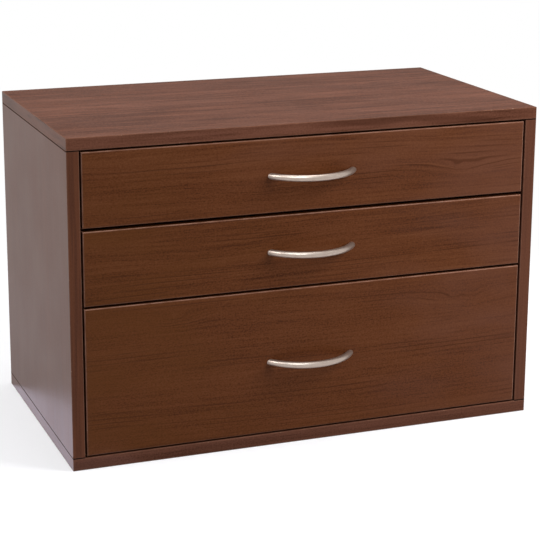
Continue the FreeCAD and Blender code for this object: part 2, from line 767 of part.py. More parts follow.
def drawer_sides(drawer, front_z, side_height, cams):
    """Left side of a drawer box with groove and bores, and its mirrored twin."""
    label = f"{drawer}_drawer_left_side"
    body = part_body(label, "-box_half", "front_rear_y", f"{front_z} + box_lift")
    sketch = sketch_in(body, f"{label}_outline", "side")
    rectangle(sketch, "0", "0", "side_length", side_height)
    pad(body, f"{label}_board", sketch, "side", "box_board")
    sketch = sketch_in(body, f"{label}_groove_outline", "side", "box_board")
    rectangle(sketch, "0", "groove_height - groove_fit", "side_length", "groove_width")
    pocket(body, f"{label}_groove", sketch, "side", "groove_depth")
    cam_spots = [("cam_edge_distance", z) for z in cams]
    bolt_spots = [("box_board / 2", z) for z in cams]
    rail_y = "drawer_rail_y - front_rear_y"
    rail_z = "box_screw_z - foot_rise - runner_steel"
    rail_spots = [(f"{rail_y} + {y}", rail_z) for y in BOX_SCREW_PLACES]
    corner_spots = [("side_length - box_board / 2", z) for z in corner_heights(side_height)]
    corner_head = "corner_screw_head_diameter + 2 * bore_room"
    corner_bore = "corner_screw_diameter + 2 * bore_room"
    rail_bore = "box_screw_diameter + 2 * thread_fit"
    rail_depth = "box_screw_length - runner_steel + bore_end_room"
    cam_depth = "box_cam_thickness + bore_room"
    sink = "corner_screw_head_height"
    drill(body, f"{label}_cam_holes", "side", "box_board", cam_spots, CAM_HOLE, cam_depth)
    drill(body, f"{label}_bolt_bores", "front", "0", bolt_spots, CAM_BOLT_BORE, "cam_edge_distance", "+")
    drill(body, f"{label}_rail_holes", "side", "0", rail_spots, rail_bore, rail_depth, "+")
    drill(body, f"{label}_corner_holes", "side", "0", corner_spots, corner_bore, "through", "+")
    drill(body, f"{label}_corner_sinks", "side", "0", corner_spots, corner_head, sink, "+")
    mirrored_part(f"{drawer}_drawer_right_side", body)


def drawer_back(drawer, front_z, side_height):
    """Back board between the sides, standing on the bottom panel."""
    label = f"{drawer}_drawer_back"
    lift = f"{front_z} + box_lift + back_rise"
    body = part_body(label, "-box_inner_half", "front_rear_y + drawer_inside_length", lift)
    sketch = sketch_in(body, f"{label}_outline", "plan")
    rectangle(sketch, "0", "0", "2 * box_inner_half", "box_board")
    pad(body, f"{label}_board", sketch, "plan", f"{side_height} - back_rise")
    spots = [("box_board / 2", f"{z} - back_rise") for z in corner_heights(side_height)]
    depth = "corner_screw_length + corner_screw_head_height - box_board + bore_end_room"
    bore = "corner_screw_diameter + 2 * thread_fit"
    drill(body, f"{label}_left_bores", "side", "0", spots, bore, depth, "+")
    drill(body, f"{label}_right_bores", "side", "2 * box_inner_half", spots, bore, depth)


def drawer_bottom(drawer, front_z):
    """Thin bottom in the grooves of front and sides, running under the back."""
    label = f"{drawer}_drawer_bottom"
    tongue = "groove_depth - groove_play"
    height = f"{front_z} + box_lift + groove_height"
    body = part_body(label, "-bottom_panel_half", f"front_rear_y - ({tongue})", height)
    sketch = sketch_in(body, f"{label}_outline", "plan")
    rectangle(sketch, "0", "0", "2 * bottom_panel_half", f"side_length + {tongue}")
    pad(body, f"{label}_sheet", sketch, "plan", "box_bottom_thickness")


def handle(drawer, front_z, front_height):
    """Round bar bent to one arc, with its ends cut flat on the front and tapped for the screws."""
    label = f"{drawer}_handle"
    body = part_body(label, "0", "front_y + handle_face", f"{front_z} + {front_height} / 2")
    sketch = sketch_in(body, f"{label}_bar_section", "side")
    circles(sketch, [("-bow_radius", "0")], "bow_bar_diameter")
    bow = body.newObject("PartDesign::Revolution", f"{label}_bow")
    bow.Profile = sketch
    bow.ReferenceAxis = (sketch, ["V_Axis"])
    bow.Angle = HALF_TURN
    bow.Midplane = True
    body.Tip = bow
    doc.recompute()
    sketch = sketch_in(body, f"{label}_cut_outline", "plan", "-bow_bar_diameter")
    reach = "bow_radius + bow_bar_diameter"
    rectangle(sketch, f"-({reach})", "-handle_face", f"2 * ({reach})", reach)
    pocket(body, f"{label}_flat_ends", sketch, "plan", "through", "+")
    spots = [(f"{sign}handle_hole_spacing / 2", "0") for sign in ("-", "")]
    bore = "handle_screw_diameter + 2 * thread_fit"
    drill(body, f"{label}_threads", "front", "-handle_face", spots, bore, "handle_thread_depth")


def handle_screws(drawer, front_z, front_height):
    """Screws from inside the drawer, with their heads in the recesses of the front."""
    head_y = "front_rear_y - handle_screw_recess + handle_screw_head_height"
    body = part_body(f"{drawer}_handle_screws", "0", head_y, f"{front_z} + {front_height} / 2")
    profile = screw_profile("handle_screw", "front_thickness - handle_screw_recess + handle_screw_grip")
    turned(body, f"{drawer}_handle_screw", "-Y", ("-handle_hole_spacing / 2", "0", "0"), profile)
    both_sides(body)


def box_cam_fittings(drawer, front_z, cams):
    """Cams in the drawer's sides, and the bolts that tie them to the front."""
    label = f"{drawer}_drawer_cam_fittings"
    body = part_body(label, "0", "front_rear_y", f"{front_z} + box_lift")
    for z in cams:
        place = ("-box_inner_half", "cam_edge_distance", z)
        turned(body, f"{label}_cam", "-X", place, cam_profile("box_cam_thickness"))
    middle = "-box_inner_half - box_board / 2"
    mouth = "cam_bolt_head_diameter + 2 * bore_room"
    mouths = [(middle, z) for z in cams]
    level = "cam_edge_distance + cam_bolt_head_length"
    drill(body, f"{label}_mouths", "front", level, mouths, mouth, "through")
    for z in cams:
        turned(body, f"{label}_bolt", "+Y", (middle, "-cam_bolt_thread_length", z), cam_bolt_profile())
    both_sides(body)


def corner_screws(drawer, front_z, side_height):
    """Screws through the drawer's sides into the ends of its back."""
    label = f"{drawer}_drawer_back_screws"
    height = f"{front_z} + box_lift"
    body = part_body(label, "0", "front_rear_y + side_length - box_board / 2", height)
    profile = screw_profile("corner_screw", "corner_screw_length")
    for z in corner_heights(side_height):
        turned(body, f"{label}_screw", "+X", ("-box_half", "0", z), profile)
    both_sides(body)


def box_rail_screws(drawer, front_z):
    """Screws that hold the drawer's rails to its sides."""
    label = f"{drawer}_drawer_rail_screws"
    body = part_body(label, "0", "drawer_rail_y", f"{front_z} + runner_lift")
    profile = screw_profile("box_screw", "box_screw_length")
    for y in BOX_SCREW_PLACES:
        place = ("web_face - box_screw_head_height - wall", y, "box_screw_z")
        turned(body, f"{label}_screw", "+X", place, profile)
    both_sides(body)


# Cabinet
top_panel()
bottom_panel()
side_panels()
back_panel()
back_panel_nails()
cabinet_cams()
cabinet_cam_bolts()
wood_dowels()
bottom_panel_screws()
cabinet_rail_screws()

# Drawers and their runners
for drawer, (front_z, front_height, side_height, cam_shares) in DRAWERS.items():
    cams = cam_heights(side_height, cam_shares)
    runner_z = f"{front_z} + runner_lift"
    cabinet_rail(drawer, front_z)
    roller_pair(
        f"{drawer}_cabinet_rollers",
        "cabinet_rail_y + roller_setback",
        f"{runner_z} + cabinet_roller_z",
        "+X",
        "roller_outside - wall",
    )
    drawer_rail(drawer, front_z)
    roller_pair(
        f"{drawer}_drawer_rollers",
        "drawer_roller_y",
        f"{runner_z} + drawer_roller_z",
        "-X",
        "roller_inside - wall",
    )
    drawer_front(drawer, front_z, front_height, cams)
    drawer_sides(drawer, front_z, side_height, cams)
    drawer_back(drawer, front_z, side_height)
    drawer_bottom(drawer, front_z)
    handle(drawer, front_z, front_height)
    handle_screws(drawer, front_z, front_height)
    box_cam_fittings(drawer, front_z, cams)
    corner_screws(drawer, front_z, side_height)
    box_rail_screws(drawer, front_z)

# Checks before anything is written
doc.recompute()
for item in doc.Objects:
    if "Invalid" in item.State or "Error" in item.State:
        raise ValueError(f"{item.Label} failed: {item.State}")
for part in parts:
    if part.Shape.isNull() or not part.Shape.isValid() or not part.Shape.Solids:
        raise ValueError(f"{part.Label} has no valid solid")

os.makedirs("parts", exist_ok=True)
for part in parts:
    part.Shape.exportStep(f"parts/{part.Label}.step")
    print(part.Label, len(part.Shape.Solids), round(part.Shape.Volume))
print(len(parts), "sub-parts")
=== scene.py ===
"""Looks of a low cabinet for scrapbook paper: laminate, handles, runners, fittings and a pale studio."""
import logging
import math
from collections.abc import Mapping, Sequence
from dataclasses import dataclass, field
from enum import Enum

import bpy
from mathutils import Matrix, Quaternion, Vector


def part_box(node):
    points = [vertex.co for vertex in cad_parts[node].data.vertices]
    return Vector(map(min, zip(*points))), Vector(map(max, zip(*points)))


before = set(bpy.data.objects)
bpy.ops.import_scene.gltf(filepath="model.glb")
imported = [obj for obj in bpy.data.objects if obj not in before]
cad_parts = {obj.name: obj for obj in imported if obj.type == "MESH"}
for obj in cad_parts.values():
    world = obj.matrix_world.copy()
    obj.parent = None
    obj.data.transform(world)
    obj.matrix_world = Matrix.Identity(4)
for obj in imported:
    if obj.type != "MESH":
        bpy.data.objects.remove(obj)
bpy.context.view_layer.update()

LOG = logging.getLogger("paper_cabinet")
Colour = tuple[float, float, float]
Point = tuple[float, float, float]


class Grain(Enum):
    """Order of the axes along the grain, across it and through the board."""

    FRONT = (0, 2, 1)
    LID = (0, 1, 2)
    UPRIGHT = (2, 1, 0)
    DEPTHWISE = (1, 2, 0)


class Wire:
    """Output of a shader node. Arithmetic on it adds Math nodes."""

    def __init__(self, graph: "Graph", socket: bpy.types.NodeSocket) -> None:
        """Wraps one socket.

        Args:
            graph: The node tree that the socket is in.
            socket: The output socket.
        """
        self.graph = graph
        self.socket = socket

    def math(self, operation: str, *others: "Wire | float") -> "Wire":
        """This value with others in a Math node.

        Args:
            operation: The Math node's operation.
            others: The node's further values.

        Returns:
            The node's result.
        """
        return self.graph.math(operation, self, *others)

    def __add__(self, other: "Wire | float") -> "Wire":
        """Sum."""
        return self.math("ADD", other)

    def __radd__(self, other: float) -> "Wire":
        """Sum from the right."""
        return self.math("ADD", other)

    def __sub__(self, other: "Wire | float") -> "Wire":
        """Difference."""
        return self.math("SUBTRACT", other)

    def __rsub__(self, other: float) -> "Wire":
        """Difference from the right."""
        return self.graph.math("SUBTRACT", other, self)

    def __mul__(self, other: "Wire | float") -> "Wire":
        """Product."""
        return self.math("MULTIPLY", other)

    def __rmul__(self, other: float) -> "Wire":
        """Product from the right."""
        return self.math("MULTIPLY", other)

    def least(self, other: "Wire | float") -> "Wire":
        """The smaller of two values."""
        return self.math("MINIMUM", other)

    def most(self, other: "Wire | float") -> "Wire":
        """The larger of two values."""
        return self.math("MAXIMUM", other)

    def rise(self, start: float, end: float, low: float = 0.0, high: float = 1.0) -> "Wire":
        """A smooth step.

        Args:
            start: Value at which the step starts.
            end: Value at which it ends.
            low: Result before the step.
            high: Result after it.

        Returns:
            The stepped value.
        """
        values = {0: self, 1: start, 2: end, 3: low, 4: high}
        return self.graph.add("ShaderNodeMapRange", values, interpolation_type="SMOOTHSTEP")

    def parts(self) -> tuple["Wire", "Wire", "Wire"]:
        """The three components of a vector."""
        return tuple(self.graph.add("ShaderNodeSeparateXYZ", {0: self}, output=axis) for axis in range(3))


class Graph:
    """Node tree of one finish, or of the surroundings."""

    def __init__(self, owner: bpy.types.Material | bpy.types.World) -> None:
        """Empties the owner's node tree.

        Args:
            owner: The material or world that the tree belongs to.
        """
        self.owner = owner
        self.owner.use_nodes = True
        self.tree = self.owner.node_tree
        self.tree.nodes.clear()

    @classmethod
    def of_finish(cls, name: str) -> "Graph":
        """Empty tree of a new material."""
        return cls(bpy.data.materials.new(name))

    def add(
        self,
        kind: str,
        values: Mapping[int | str, object] | None = None,
        output: int | str = 0,
        **settings: object,
    ) -> Wire:
        """Makes any node.

        Args:
            kind: Type of the node.
            values: Values or links of its input sockets.
            output: The output socket to return.
            settings: Properties that are set before the sockets, with a ramp's stops.

        Returns:
            The chosen output. A node that ends the tree has none, and gives its input.
        """
        node = self.tree.nodes.new(kind)
        for name, setting in settings.items():
            if name == "stops":
                self._set_stops(node.color_ramp, setting)
            else:
                setattr(node, name, setting)
        for key, value in (values or {}).items():
            if isinstance(value, Wire):
                self.tree.links.new(value.socket, node.inputs[key])
            else:
                node.inputs[key].default_value = self._fitted(node.inputs[key], value)
        sockets = node.outputs or node.inputs
        return Wire(self, sockets[output])

    @staticmethod
    def _fitted(socket: bpy.types.NodeSocket, value: object) -> object:
        """Gives a colour of three numbers its alpha where the socket needs it.

        Args:
            socket: The input socket.
            value: The value that is meant for it.

        Returns:
            The value in the socket's own form.
        """
        if socket.type == "RGBA" and len(value) == 3:
            return (*value, 1.0)
        return value

    @staticmethod
    def _set_stops(ramp: bpy.types.ColorRamp, stops: Sequence[tuple[float, Colour]]) -> None:
        """Puts the stops on a colour ramp.

        Args:
            ramp: The ramp, with its two first stops.
            stops: Positions and colours.
        """
        while len(ramp.elements) < len(stops):
            ramp.elements.new(1.0)
        for element, (position, colour) in zip(ramp.elements, stops):
            element.position = position
            element.color = (*colour, 1.0)

    def math(self, operation: str, *values: "Wire | float") -> Wire:
        """A Math node.

        Args:
            operation: What it does.
            values: Its values.

        Returns:
            The result.
        """
        return self.add("ShaderNodeMath", dict(enumerate(values)), operation=operation)

    def vector_math(self, operation: str, *values: "Wire | Point") -> Wire:
        """A Vector Math node.

        Args:
            operation: What it does.
            values: Its vectors.

        Returns:
            The resulting vector.
        """
        return self.add("ShaderNodeVectorMath", dict(enumerate(values)), operation=operation)

    def scaled(self, place: Wire, rate: "float | Point") -> Wire:
        """A place times one factor, or with each component times its own."""
        factors = rate if isinstance(rate, tuple) else (rate, rate, rate)
        return self.vector_math("MULTIPLY", place, factors)

    def joined(self, x: "Wire | float", y: "Wire | float", z: "Wire | float") -> Wire:
        """A vector from three components."""
        return self.add("ShaderNodeCombineXYZ", {0: x, 1: y, 2: z})

    def noise(self, place: Wire, detail: float = 2.0, roughness: float = 0.5) -> Wire:
        """Soft noise from 0 to 1.

        Args:
            place: Where it is read, in units of one feature.
            detail: Number of finer layers.
            roughness: Weight of the finer layers.

        Returns:
            The noise value.
        """
        values = {"Vector": place, "Scale": 1.0, "Detail": detail, "Roughness": roughness}
        return self.add("ShaderNodeTexNoise", values)

    def blend(self, factor: "Wire | float", first: "Wire | Colour", second: "Wire | Colour") -> Wire:
        """Mix of two colours."""
        values = {0: factor, 6: first, 7: second}
        return self.add("ShaderNodeMix", values, output=2, data_type="RGBA")

    def swap(self, factor: Wire, first: Wire, second: Wire) -> Wire:
        """Mix of two vectors."""
        values = {0: factor, 4: first, 5: second}
        return self.add("ShaderNodeMix", values, output=1, data_type="VECTOR")

    def place(self) -> Wire:
        """Place on the piece, in metres of the cabinet's frame."""
        return self.add("ShaderNodeTexCoord", output="Object")

    def facing(self) -> tuple[Wire, Wire, Wire]:
        """The surface normal's three components in the cabinet's frame."""
        return self.add("ShaderNodeTexCoord", output="Normal").parts()

    def bump(self, height: Wire, depth: float, strength: float = 1.0) -> Wire:
        """A normal bent by a height map.

        Args:
            height: The map, from 0 to 1.
            depth: Metres between 0 and 1.
            strength: Share of the effect.

        Returns:
            The bent normal.
        """
        return self.add("ShaderNodeBump", {"Height": height, "Distance": depth, "Strength": strength})

    def surface(self, values: Mapping[str, object]) -> bpy.types.Material:
        """Ends the material with a Principled shader.

        Args:
            values: Values or links of the shader's sockets.

        Returns:
            The finished material.
        """
        shader = self.add("ShaderNodeBsdfPrincipled", values)
        self.add("ShaderNodeOutputMaterial", {0: shader})
        return self.owner


Axes = tuple[Wire, Wire, Wire]
ALONG, ACROSS, THROUGH = range(3)


def edge_distance(graph: Graph, place: Wire, low: Point, high: Point) -> Wire:
    """Distance from a point of a board's surface to the nearest edge of the board.

    Args:
        graph: The node tree.
        place: Place on the board.
        low: The board's lowest corner.
        high: Its highest corner.

    Returns:
        The distance in metres.
    """
    middle = tuple((a + b) / 2 for a, b in zip(low, high))
    half = tuple((b - a) / 2 for a, b in zip(low, high))
    offset = graph.vector_math("ABSOLUTE", graph.vector_math("SUBTRACT", place, middle))
    x, y, z = graph.vector_math("SUBTRACT", half, offset).parts()
    return x.least(y).most(x.most(y).least(z))


def seen_rays(graph: Graph) -> Wire:
    """Marks the rays that show the background.

    Args:
        graph: The node tree.

    Returns:
        1 for rays from the camera, in gloss and through clear pieces, 0 for others.
    """
    rays = ("Is Camera Ray", "Is Glossy Ray", "Is Transmission Ray")
    camera, gloss, clear = (graph.add("ShaderNodeLightPath", output=ray) for ray in rays)
    return camera.most(gloss).most(clear)


def shaded(colour: Colour, share: float) -> Colour:
    """A colour made darker, or lighter, by a factor."""
    return tuple(share * value for value in colour)


@dataclass(frozen=True)
class Swirl:
    """A place where the grain flows round a small figure, by place and reach along and across the grain."""

    along: float
    across: float
    reach: float
    spread: float
    lift: float


TOP_SWIRLS = (Swirl(0.205, 0.335, 0.045, 0.010, 0.010), Swirl(-0.05, 0.33, 0.09, 0.02, 0.006))
MIDDLE_SWIRLS = (Swirl(-0.12, 0.255, 0.09, 0.014, 0.006),)
BOTTOM_SWIRLS = (Swirl(-0.178, 0.176, 0.030, 0.010, 0.012), Swirl(0.21, 0.165, 0.050, 0.016, 0.013))


@dataclass(frozen=True)
class CherryTone:
    """Shades of one batch of the cherry print."""

    dark: Colour
    middle: Colour
    light: Colour
    red: Colour
    olive: Colour
    # Colour of rubbed edges, used also as a painted highlight along them.
    worn_and_highlight: Colour


CASE_TONE = CherryTone(
    dark=(0.052, 0.0175, 0.0092),
    middle=(0.097, 0.0362, 0.0210),
    light=(0.133, 0.0525, 0.0325),
    red=(0.105, 0.0375, 0.0225),
    olive=(0.092, 0.0368, 0.0200),
    worn_and_highlight=(0.26, 0.14, 0.095),
)
FRONT_TONE = CherryTone(
    dark=(0.044, 0.0120, 0.0036),
    middle=(0.090, 0.0270, 0.0082),
    light=(0.122, 0.042, 0.0155),
    red=(0.113, 0.0460, 0.0300),
    olive=(0.083, 0.0275, 0.0055),
    worn_and_highlight=(0.30, 0.16, 0.115),
)


@dataclass(frozen=True)
class GrainMarks:
    """Fine marks of the cherry print, which its colour, relief and gloss share."""

    lines: Wire
    hairs: Wire
    pores: Wire
    strokes: Wire


@dataclass(frozen=True)
class CherryLaminate:
    """Dark cherry wood print on a board, in satin melamine with banded edges.

    Rates are features per metre. Widths and the relief are metres. Shares and shades go from 0 to 1.
    """

    name: str
    grain: Grain
    low: Point
    high: Point
    seed: float
    tone: CherryTone
    swirls: tuple[Swirl, ...] = ()
    seams: tuple[float, ...] = ()
    roughness: float = 0.36
    sheen_index: float = 1.16
    contrast: float = 1.0
    fineness: float = 1.0
    fleck_share: float = 0.5
    # Painted sheen: the hue ramps along the board, pinker at one end and more olive at the other.
    painted_sheen_ramp: float = 0.0
    # Painted warmth: pushes the hue towards the red tone.
    painted_warmth: float = 0.0
    # Painted light: shifts the level of the whole print lighter or darker.
    painted_lightness: float = 0.0
    # Painted shade: darkening of faces that point up.
    painted_lid_shade: float = 0.0
    veining: float = 0.55
    # Lighter rubbed edges: partly wear, partly a painted highlight.
    edge_wear_and_highlight: float = 0.95
    # Painted shade: darkening of faces that point down.
    painted_under_shade: float = 0.0
    lid_dullness: float = 0.0
    band_share: float = 0.0
    band_tone: CherryTone = FRONT_TONE
    bare: Colour = (0.50, 0.36, 0.26)
    line_rate: float = 290.0
    hair_rate: float = 620.0
    streak_rate: float = 380.0
    vein_rate: float = 165.0
    hue_share: float = 0.52
    rub_and_highlight_width: float = 0.0017
    chip_width: float = 0.0012
    seam_width: float = 0.0018
    relief: float = 0.00005

    def noise(
        self,
        board: Axes,
        rates: tuple[float, float],
        seeded: int | None = None,
        detail: float = 1.0,
        roughness: float = 0.5,
    ) -> Wire:
        """Noise that is stretched along the grain.

        Args:
            board: Metres along the grain, across it and through the board.
            rates: Features per metre along the grain, and in the two other directions.
            seeded: The direction in which the seed shifts the noise: ALONG, ACROSS or THROUGH.
            detail: Number of finer layers.
            roughness: Weight of the finer layers.

        Returns:
            The noise value.
        """
        graph = board[ALONG].graph
        lengthwise, sideways = rates
        spots = [board[ALONG] * lengthwise, board[ACROSS] * sideways, board[THROUGH] * sideways]
        if seeded is not None:
            spots[seeded] = spots[seeded] + self.seed
        return graph.noise(graph.joined(*spots), detail, roughness)

    def directions(self, axes: Axes, normals: Axes) -> Axes:
        """Directions of the print, which is turned on the ends of the board.

        Args:
            axes: Place on the board along the cabinet's axes.
            normals: The surface normal along the same axes.

        Returns:
            Metres along the grain, across it and through the board.
        """
        along, across, through = (axes[axis] for axis in self.grain.value)
        graph = along.graph
        on_end = normals[self.grain.value[0]].math("ABSOLUTE").rise(0.6, 0.8)
        straight = graph.joined(along, across, through)
        turned = graph.joined(across, through, along)
        return graph.swap(on_end, straight, turned).parts()

    def figure(self, board: Axes) -> Wire:
        """Height across the grain, bent by slow waves and by the swirls.

        Args:
            board: Metres along the grain, across it and through the board.

        Returns:
            The bent height, whose level lines are the grain lines.
        """
        along, across, _ = board
        slow = self.noise(board, (1.7, 7.0), ALONG)
        quick = self.noise(board, (9.0, 40.0), ACROSS)
        bent = across + (slow - 0.5) * 0.020 + (quick - 0.5) * 0.0030
        if not self.swirls:
            return bent
        ragged = (self.noise(board, (42.0, 60.0), ALONG) - 0.5) * 0.9 + 1.0
        for swirl in self.swirls:
            beside = (along - swirl.along) * (1 / swirl.reach)
            above = (across - swirl.across) * (1 / swirl.spread)
            fade = ((beside * beside + above * above) * -1.0).math("EXPONENT")
            bent = bent + fade * ragged * swirl.lift
        return bent

    def marks(self, board: Axes, bent: Axes) -> GrainMarks:
        """Lines, hairs, pores and dark strokes of the print.

        Args:
            board: Metres along the grain, across it and through the board.
            bent: The same, with the bent height across the grain.

        Returns:
            The marks, each from 0 to 1.
        """
        lines = self.noise(bent, (5.0, self.line_rate * self.fineness), ACROSS, roughness=0.6)
        hairs = self.noise(bent, (17.0, self.hair_rate * self.fineness), THROUGH)
        streak = self.noise(bent, (8.0, self.streak_rate * self.fineness), ALONG)
        gather = self.noise(board, (5.0, 22.0), THROUGH)
        strokes = streak.rise(0.35, 0.22) * gather.rise(0.46, 0.64)
        return GrainMarks(lines, hairs, hairs.rise(0.36, 0.22), strokes)

    def print_colour(self, board: Axes, bent: Axes, marks: GrainMarks, upward: Wire) -> Wire:
        """Colour of the print on a new board, with painted light: a lighter or darker level, a darker upward
        face and a sheen ramp along the board.

        Args:
            board: Metres along the grain, across it and through the board.
            bent: The same, with the bent height across the grain.
            marks: The print's fine marks.
            upward: 1 where the surface faces up, -1 where it faces down.

        Returns:
            The colour.
        """
        graph = upward.graph
        broad = self.noise(bent, (1.3, 55.0), ALONG)
        cloud = self.noise(board, (6.0, 13.0), ALONG, detail=2.0)
        fleck = self.noise(board, (430.0, 600.0))
        streaks = broad * 0.24 + marks.lines * 0.30 + marks.hairs * 0.30 + cloud * 0.20 - 0.52
        # Painted light: the level of the whole print is raised or lowered.
        level = 0.5 - self.fleck_share / 2 + self.painted_lightness
        tone = streaks * self.contrast + fleck * self.fleck_share + level
        # Painted shade: faces that point up are darker.
        tone = tone - upward.rise(0.5, 0.9) * self.painted_lid_shade
        stops = [(0.30, self.tone.dark), (0.50, self.tone.middle), (0.72, self.tone.light)]
        colour = graph.add("ShaderNodeValToRGB", {0: tone}, stops=stops)
        patches = self.noise(board, (8.0, 19.0), ACROSS, detail=2.0)
        # Painted sheen: on top of the random patches, the hue ramps along the board, pinker where the place
        # along the grain is larger and more olive where it is smaller.
        hue_and_sheen = (patches - 0.5) * 0.30 + board[ALONG] * self.painted_sheen_ramp + (0.5 + self.painted_warmth)
        colour = graph.blend(hue_and_sheen.rise(0.50, 0.74) * self.hue_share, colour, self.tone.red)
        colour = graph.blend(hue_and_sheen.rise(0.50, 0.30) * self.hue_share, colour, self.tone.olive)
        colour = graph.blend(marks.strokes * (0.26 * self.contrast), colour, self.tone.dark)
        drift = self.noise(board, (2.4, 16.0), ALONG)
        veins = (bent[ACROSS] * self.vein_rate + drift * 2.6).math("PINGPONG", 0.5).rise(0.19, 0.05)
        shown = self.noise(board, (7.0, 42.0), ACROSS).rise(0.50, 0.68)
        colour = graph.blend(veins * shown * self.veining, colour, self.tone.dark)
        return graph.blend(marks.pores * (0.30 * self.contrast), colour, shaded(self.tone.dark, 0.7))

    def material(self) -> bpy.types.Material:
        """Builds the finish: the print, the front band, rubbed edges with a painted highlight, painted shade
        on downward faces and the seams of the boards.

        Returns:
            The material.
        """
        graph = Graph.of_finish(self.name)
        place = graph.place()
        axes = place.parts()
        normals = graph.facing()
        board = self.directions(axes, normals)
        bent = (board[ALONG], self.figure(board), board[THROUGH])
        marks = self.marks(board, bent)
        colour = self.print_colour(board, bent, marks, normals[2])
        banded = normals[1].rise(-0.6, -0.9) * self.band_share
        band = graph.blend(marks.lines.rise(0.38, 0.58), self.band_tone.dark, self.band_tone.middle)
        colour = graph.blend(banded, colour, band)
        edge = edge_distance(graph, place, self.low, self.high)
        patch = graph.noise(graph.scaled(place, 60.0), 3.0, 0.6)
        # Rubbed edges turn lighter: partly wear, partly a painted highlight along the rounded edges.
        rubbed = edge.rise(self.rub_and_highlight_width, 0.0003) * patch.rise(0.30, 0.70, 0.45, 1.0)
        chips = graph.noise(graph.scaled(place, 500.0), 1.0).rise(0.72, 0.78)
        chipped = edge.rise(self.chip_width, 0.0004) * chips
        colour = graph.blend(rubbed * self.edge_wear_and_highlight, colour, self.tone.worn_and_highlight)
        # Painted shade: faces that point down are darkened towards the dark tone.
        colour = graph.blend(normals[2].rise(-0.2, -0.6) * self.painted_under_shade, colour, self.tone.dark)
        colour = graph.blend(chipped * 0.8, colour, self.bare)
        height = marks.lines * 0.5 + marks.hairs * 0.35 - marks.pores * 0.5 - marks.strokes * 0.3
        smudge = graph.noise(graph.scaled(place, 14.0), 3.0, 0.55)
        roughness = marks.lines * 0.06 + smudge * 0.10 + rubbed * 0.08 + (self.roughness - 0.08)
        roughness = roughness + normals[2].rise(0.5, 0.9) * self.lid_dullness
        for level in self.seams:
            seam = (axes[2] - level).math("ABSOLUTE").rise(self.seam_width, 0.0006)
            colour = graph.blend(seam, colour, shaded(self.tone.dark, 0.15))
            height = height - seam * 30.0
            roughness = roughness + seam * 0.7
        return graph.surface(
            {
                "Base Color": colour,
                "Roughness": roughness,
                "IOR": self.sheen_index,
                "Normal": graph.bump(height, self.relief, 0.5),
            }
        )


@dataclass(frozen=True)
class BoxFoil:
    """Plain dark brown foil on the boards of the drawer boxes, with a faint grain along them."""

    name: str
    grain: Grain
    low: Point
    high: Point
    seed: float
    tone: Colour = (0.105, 0.043, 0.024)
    shade: Colour = (0.070, 0.026, 0.014)
    rubbed_tone: Colour = (0.19, 0.10, 0.062)

    def material(self) -> bpy.types.Material:
        """Builds the finish, with slightly rubbed edges.

        Returns:
            The material.
        """
        graph = Graph.of_finish(self.name)
        place = graph.place()
        axes = place.parts()
        along, across, through = (axes[axis] for axis in self.grain.value)
        wave = graph.noise(graph.joined(along * 4.0 + self.seed, across * 30.0, through * 30.0), 1.0)
        bent = across + wave * 0.006
        lines = graph.noise(graph.joined(along * 5.0, bent * 420.0 + self.seed, through * 420.0), 2.0, 0.6)
        cloud = graph.noise(graph.joined(along * 7.0, across * 14.0, through * 14.0), 2.0)
        colour = graph.blend(lines.rise(0.25, 0.75) * 0.7 + cloud * 0.3, self.shade, self.tone)
        edge = edge_distance(graph, place, self.low, self.high)
        rubbed = edge.rise(0.0010, 0.0001)
        colour = graph.blend(rubbed * 0.35, colour, self.rubbed_tone)
        return graph.surface(
            {
                "Base Color": colour,
                "Roughness": lines * 0.10 + cloud * 0.12 + 0.36,
                "IOR": 1.38,
                "Normal": graph.bump(lines, 0.00004, 0.5),
            }
        )


@dataclass(frozen=True)
class Hardboard:
    """Thin fibre board: printed dark on one face, raw brown on the other."""

    name: str
    printed_axis: int
    printed_side: float
    seed: float
    dark: Colour = (0.125, 0.058, 0.026)
    middle: Colour = (0.235, 0.122, 0.062)
    light: Colour = (0.34, 0.195, 0.110)
    speck: Colour = (0.07, 0.032, 0.016)
    print_dark: Colour = (0.062, 0.022, 0.012)
    print_light: Colour = (0.105, 0.041, 0.022)

    def material(self) -> bpy.types.Material:
        """Builds the finish.

        Returns:
            The material.
        """
        graph = Graph.of_finish(self.name)
        place = graph.place()
        printed = (graph.facing()[self.printed_axis] * self.printed_side).rise(0.4, 0.6)
        fibre = graph.noise(graph.scaled(place, (520.0, 900.0, 520.0)), 3.0, 0.65)
        fleck = graph.noise(graph.scaled(place, (170.0, 170.0, 90.0)), 2.0, 0.7)
        mottle = graph.noise(graph.scaled(place, 16.0), 3.0, 0.6)
        stops = [(0.25, self.dark), (0.55, self.middle), (0.85, self.light)]
        raw = graph.add("ShaderNodeValToRGB", {0: fibre * 0.45 + mottle * 0.4 + fleck * 0.15}, stops=stops)
        raw = graph.blend(fleck.rise(0.66, 0.78) * 0.5, raw, self.speck)
        x, y, z = place.parts()
        across = y if self.printed_axis == 2 else z
        grain = graph.noise(graph.joined(x * 4.0 + self.seed, across * 380.0, z * 3.0), 2.0, 0.6)
        shade = grain.rise(0.25, 0.75) * 0.7 + mottle * 0.3
        colour = graph.blend(printed, raw, graph.blend(shade, self.print_dark, self.print_light))
        height = fibre * 0.7 + fleck * 0.3
        return graph.surface(
            {
                "Base Color": colour,
                "Roughness": (1.0 - printed) * (fibre * 0.15 + 0.18) + (grain * 0.10 + 0.40),
                "IOR": 1.4,
                "Normal": graph.bump(height, 0.00012, 0.6),
            }
        )


